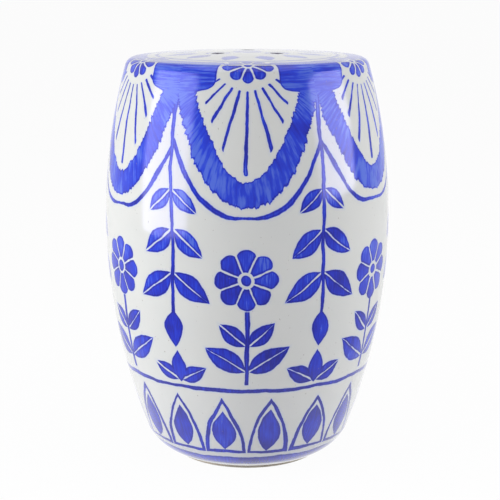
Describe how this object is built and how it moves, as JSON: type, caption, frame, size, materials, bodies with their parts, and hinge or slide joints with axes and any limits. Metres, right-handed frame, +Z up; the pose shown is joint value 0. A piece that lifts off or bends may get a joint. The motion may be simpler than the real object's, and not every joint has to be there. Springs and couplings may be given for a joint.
{
  "type": "ceramic garden stool",
  "caption": "Barrel-shaped glazed garden stool with a crowned, pierced seat, a heel rolled under to a low standing rim, and an open hollow body.",
  "frame": {"origin": "on the floor at the centre of the stool, between the rubber dots", "axes": "+Z up along the axis of the barrel, +Y towards the odd drain hole, which is the back in the picture"},
  "size_m": [0.319, 0.319, 0.457],
  "materials": {
    "glaze": "glossy white glaze with cobalt blue brushwork under it",
    "bare_clay": "unglazed fired clay",
    "pad_rubber": "matt"
  },
  "bodies": {
    "root": {"lower_wall": "glaze", "upper_wall": "glaze", "seat": "glaze", "foot": "glaze", "belly_seam_coil": "bare_clay", "foot_seam_coil": "bare_clay", "seat_seam_coil": "bare_clay", "floor_pad_1": "pad_rubber", "floor_pad_2": "pad_rubber", "floor_pad_3": "pad_rubber", "floor_pad_4": "pad_rubber"}
  },
  "joints": []
}
